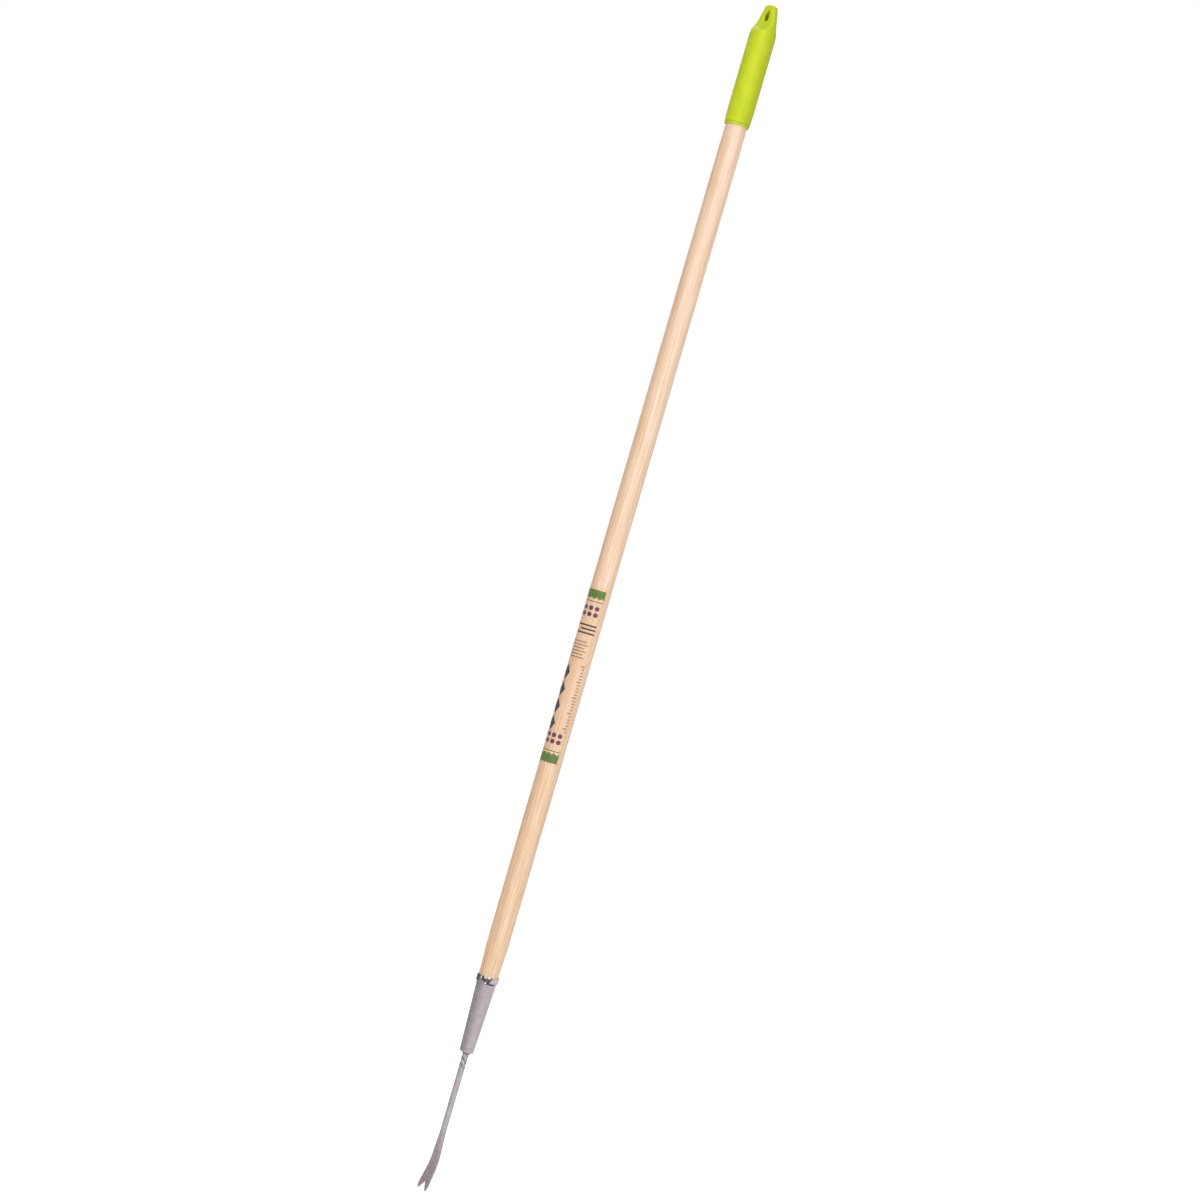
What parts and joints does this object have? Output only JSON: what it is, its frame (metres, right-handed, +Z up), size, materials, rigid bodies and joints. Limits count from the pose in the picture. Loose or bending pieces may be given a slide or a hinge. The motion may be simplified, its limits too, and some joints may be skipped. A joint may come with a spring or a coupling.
{
  "type": "long-handled weeder",
  "caption": "Long wooden-handled weeder: soft grip with a hang slot, tapered steel socket, and a thin rod forged out into a forward-bent blade with a V-notch between pointed prongs.",
  "frame": {"origin": "centre of the hang slot, on the shaft's axis", "axes": "+Z up along the shaft towards the grip's tip, -Y towards the front, the way the fork bends, +X to the tool's left as seen from behind"},
  "size_m": [0.0336, 0.0336, 1.5325],
  "materials": {
    "grip": "satin moulded soft plastic",
    "shaft": "clear varnished pale ash",
    "label": "clear printed film",
    "painted_steel": "semi-gloss warm grey paint",
    "screw": "bright zinc plated",
    "plain_steel": "as turned",
    "forged_steel": "grey paint over forged steel"
  },
  "bodies": {
    "root": {"grip": "grip", "shaft": "shaft", "shaft_label": "label", "socket": "painted_steel", "socket_screw": "screw", "socket_bush": "plain_steel", "weld_bead": "painted_steel", "fork": "forged_steel"}
  },
  "joints": []
}
